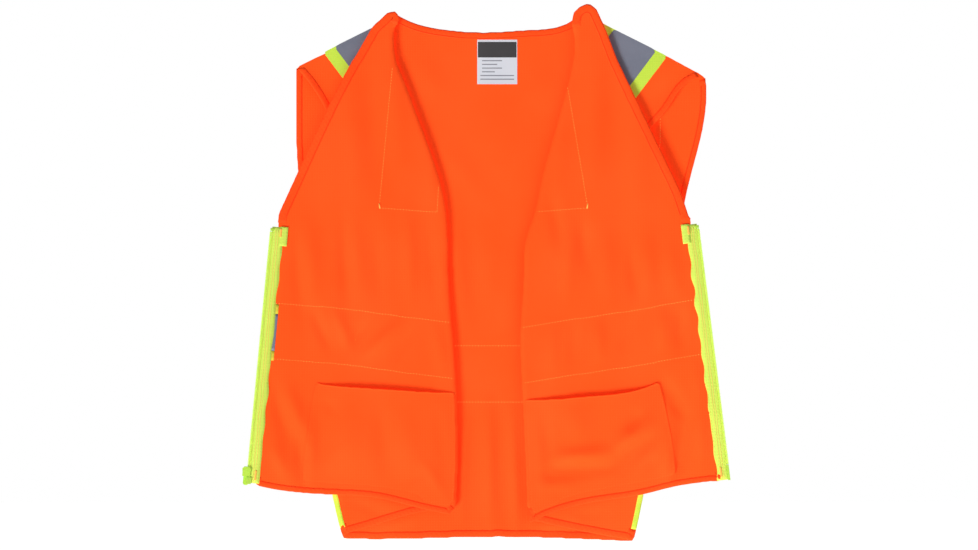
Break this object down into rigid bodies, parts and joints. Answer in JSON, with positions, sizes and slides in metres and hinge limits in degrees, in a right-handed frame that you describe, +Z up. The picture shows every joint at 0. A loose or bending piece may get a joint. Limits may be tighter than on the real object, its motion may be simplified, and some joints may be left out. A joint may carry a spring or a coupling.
{
  "type": "safety vest",
  "caption": "Sleeveless zip-front safety vest lying open, with reflective bands, inner patch pockets and fronts that fold closed.",
  "frame": {"origin": "centre of the back neckline, on the outer face of the back panel, where the vest hangs from a hook", "axes": "+Z up the wearer's back, +X to the wearer's left, +Y out of the wearer's back"},
  "size_m": [0.6574, 0.0239, 0.714],
  "materials": {
    "orange_cloth": "fluorescent orange plain-weave polyester",
    "orange_binding": "fluorescent orange folded binding tape",
    "lime_trim": "fluorescent lime-yellow knitted trim",
    "silver_tape": "retroreflective silver tape",
    "zip_tape": "lime woven zip tape",
    "zip_plastic": "lime moulded nylon",
    "slider_enamel": "lime enamelled die-cast zinc",
    "label_white": "white satin label, blank",
    "label_header": "dark grey printed header strip, blank"
  },
  "bodies": {
    "back": {"back_armhole_bindings": "orange_binding", "back_hem_binding": "orange_binding", "back_lime_stripes": "lime_trim", "back_panel": "orange_cloth", "back_silver_stripes": "silver_tape", "back_waist_lime_band": "lime_trim", "back_waist_silver_tape": "silver_tape", "left_shoulder_strap": "orange_cloth", "neck_binding": "orange_binding", "neck_label": "label_white", "neck_label_header": "label_header", "right_shoulder_strap": "orange_cloth", "shoulder_lime_stripes": "lime_trim", "shoulder_silver_stripes": "silver_tape", "strap_armhole_bindings": "orange_binding"},
    "right_side": {"right_side_hem_binding": "orange_binding", "right_side_lime_band": "lime_trim", "right_side_panel": "orange_cloth", "right_side_silver_tape": "silver_tape"},
    "right_fold": {"right_front_fold": "orange_cloth"},
    "right_front": {"box_pin": "zip_plastic", "retainer_box": "zip_plastic", "right_chest_lime_stripe": "lime_trim", "right_chest_pocket": "orange_cloth", "right_chest_silver_stripe": "silver_tape", "right_front_hem_binding": "orange_binding", "right_front_lime_band": "lime_trim", "right_front_panel": "orange_cloth", "right_front_silver_tape": "silver_tape", "right_inner_pocket": "orange_cloth", "right_tape_tail": "zip_tape", "right_top_stop": "slider_enamel", "right_vneck_binding": "orange_binding", "right_zip_coil": "zip_plastic", "right_zip_tape": "zip_tape"},
    "left_side": {"left_side_hem_binding": "orange_binding", "left_side_lime_band": "lime_trim", "left_side_panel": "orange_cloth", "left_side_silver_tape": "silver_tape"},
    "left_fold": {"left_front_fold": "orange_cloth"},
    "left_front": {"insertion_pin": "zip_plastic", "left_chest_lime_stripe": "lime_trim", "left_chest_pocket": "orange_cloth", "left_chest_silver_stripe": "silver_tape", "left_front_hem_binding": "orange_binding", "left_front_lime_band": "lime_trim", "left_front_panel": "orange_cloth", "left_front_silver_tape": "silver_tape", "left_inner_pocket": "orange_cloth", "left_tape_tail": "zip_tape", "left_top_stop": "slider_enamel", "left_vneck_binding": "orange_binding", "left_zip_coil": "zip_plastic", "left_zip_tape": "zip_tape"},
    "slider": {"slider_body": "slider_enamel"},
    "pull": {"pull_tab": "slider_enamel"}
  },
  "joints": [
    {"name": "right_side_fold", "type": "hinge", "parent": "back", "child": "right_side", "pos_m": [-0.1297, -0.003, 0.014], "axis": [-0.114, 0, -0.9935], "range_deg": [0, 120.75]},
    {"name": "right_front_fold_lower", "type": "hinge", "parent": "right_side", "child": "right_fold", "pos_m": [-0.1297, -0.0095, 0.014], "axis": [0.1278, 0.006, -0.9918], "range_deg": [-152.21, 0]},
    {"name": "right_front_fold_upper", "type": "hinge", "parent": "right_fold", "child": "right_front", "pos_m": [-0.1297, -0.0095, 0.014], "axis": [0.1278, -0.006, -0.9918], "range_deg": [-152.21, 0]},
    {"name": "left_side_fold", "type": "hinge", "parent": "back", "child": "left_side", "pos_m": [0.1216, -0.003, 0.014], "axis": [-0.1334, 0, 0.9911], "range_deg": [0, 117.46]},
    {"name": "left_front_fold_lower", "type": "hinge", "parent": "left_side", "child": "left_fold", "pos_m": [0.1216, -0.0095, 0.014], "axis": [0.1035, -0.0059, 0.9946], "range_deg": [-150.77, 0]},
    {"name": "left_front_fold_upper", "type": "hinge", "parent": "left_fold", "child": "left_front", "pos_m": [0.1216, -0.0095, 0.014], "axis": [0.1035, 0.0059, 0.9946], "range_deg": [-150.77, 0]},
    {"name": "slider_run", "type": "slide", "parent": "right_front", "child": "slider", "axis": [0.0952, 0, 0.9955], "range_m": [0, 0.318]},
    {"name": "pull_tab_hinge", "type": "hinge", "parent": "slider", "child": "pull", "pos_m": [-0.32442, -0.0094, -0.58948], "axis": [0.9955, 0, -0.0952], "range_deg": [0, 160]}
  ],
  "couplings": [
    {"joint": "right_front_fold_lower", "follows": "right_side_fold", "ratio": -1.2605},
    {"joint": "right_front_fold_upper", "follows": "right_side_fold", "ratio": -1.2605},
    {"joint": "left_front_fold_lower", "follows": "left_side_fold", "ratio": -1.2835},
    {"joint": "left_front_fold_upper", "follows": "left_side_fold", "ratio": -1.2835}
  ]
}
